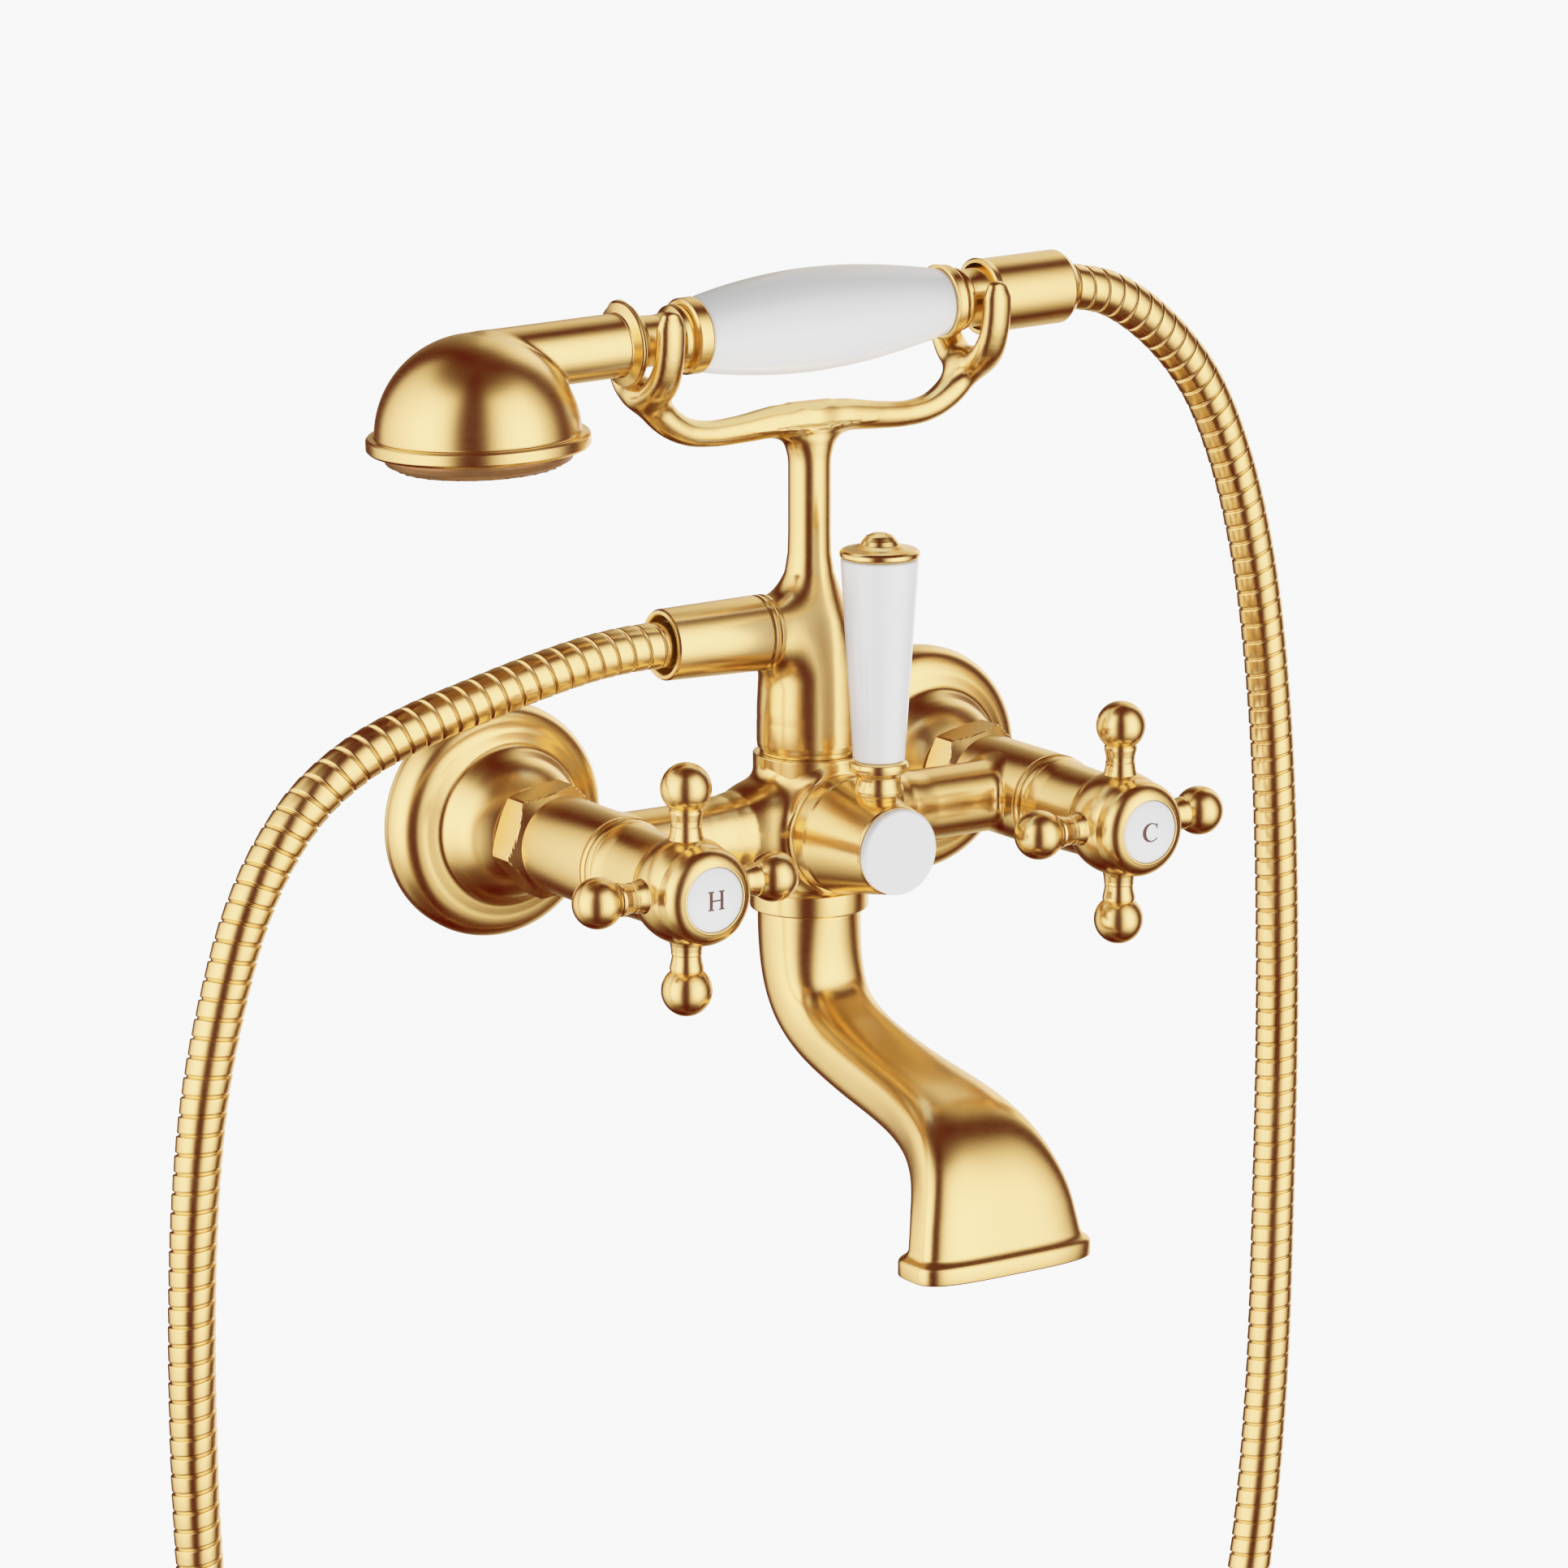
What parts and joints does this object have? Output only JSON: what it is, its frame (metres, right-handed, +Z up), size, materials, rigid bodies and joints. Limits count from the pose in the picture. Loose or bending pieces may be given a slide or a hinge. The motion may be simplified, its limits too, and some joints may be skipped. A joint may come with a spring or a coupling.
{
  "type": "wall mounted bath shower mixer",
  "caption": "Traditional wall mounted bath filler with cross handles, lever diverter, flared spout, and a cradled hand shower on a metal hose.",
  "frame": {"origin": "on the wall face, midway between the hot and cold inlet centres", "axes": "+X along the wall from the hot inlet on the left to the cold inlet on the right as seen from the room, +Y into the wall, +Z up"},
  "size_m": [0.3944, 0.1826, 0.6516],
  "materials": {
    "brushed_gold": "fine brushed gold plate over brass",
    "raw_brass": "machined brass",
    "stainless_steel": "plain",
    "seal_rubber": "matt",
    "valve_ceramic": "ground",
    "white_porcelain": "glazed",
    "bronze_face": "satin bronze",
    "white_plastic": "moulded"
  },
  "bodies": {
    "mixer": {"wall_flange_hot": "brushed_gold", "wall_flange_cold": "brushed_gold", "inlet_union_hot": "raw_brass", "inlet_union_cold": "raw_brass", "union_nut_hot": "brushed_gold", "union_nut_cold": "brushed_gold", "inlet_washers": "seal_rubber", "mixer_body": "brushed_gold", "hot_headwork": "raw_brass", "cold_headwork": "raw_brass", "headwork_seals": "seal_rubber", "hot_fixed_disc": "valve_ceramic", "cold_fixed_disc": "valve_ceramic", "hot_bonnet": "brushed_gold", "cold_bonnet": "brushed_gold", "diverter_cartridge": "raw_brass", "spout": "brushed_gold", "spout_o_rings": "seal_rubber", "flow_straightener": "white_plastic", "grub_screws": "stainless_steel", "shower_riser": "brushed_gold", "riser_o_rings": "seal_rubber", "lower_hose_nut": "brushed_gold", "lower_hose_washer": "seal_rubber", "lower_hose_tail": "raw_brass", "shower_hose": "brushed_gold"},
    "hot_control": {"hot_handle": "brushed_gold", "hot_index_disc": "white_porcelain", "hot_handle_screw": "stainless_steel", "hot_spindle": "raw_brass", "hot_moving_disc": "valve_ceramic"},
    "cold_control": {"cold_handle": "brushed_gold", "cold_index_disc": "white_porcelain", "cold_handle_screw": "stainless_steel", "cold_spindle": "raw_brass", "cold_moving_disc": "valve_ceramic"},
    "diverter": {"diverter_knob": "brushed_gold", "diverter_lever_stem": "brushed_gold", "diverter_lever_grip": "white_porcelain", "diverter_lever_finial": "brushed_gold", "diverter_button": "white_porcelain", "diverter_screw": "stainless_steel", "diverter_rotor": "raw_brass"},
    "handset": {"head_shell": "brushed_gold", "spray_face": "bronze_face", "head_seal": "seal_rubber", "handset_neck": "brushed_gold", "handle_ferrule_left": "brushed_gold", "handset_handle": "white_porcelain", "handle_ferrule_right": "brushed_gold", "handset_tail": "brushed_gold", "upper_hose_nut": "brushed_gold", "upper_hose_washer": "seal_rubber", "upper_hose_tail": "raw_brass"}
  },
  "joints": [
    {"name": "hot_turn", "type": "hinge", "parent": "mixer", "child": "hot_control", "pos_m": [-0.075, -0.1, 0], "axis": [0, -1, 0], "range_deg": [0, 90]},
    {"name": "cold_turn", "type": "hinge", "parent": "mixer", "child": "cold_control", "pos_m": [0.075, -0.1, 0], "axis": [0, -1, 0], "range_deg": [0, 90]},
    {"name": "diverter_turn", "type": "hinge", "parent": "mixer", "child": "diverter", "pos_m": [0, -0.093, 0], "axis": [0, -1, 0], "range_deg": [-45, 45]},
    {"name": "handset_lift", "type": "slide", "parent": "mixer", "child": "handset", "axis": [0, 0, 1], "range_m": [0, 0.06]}
  ]
}
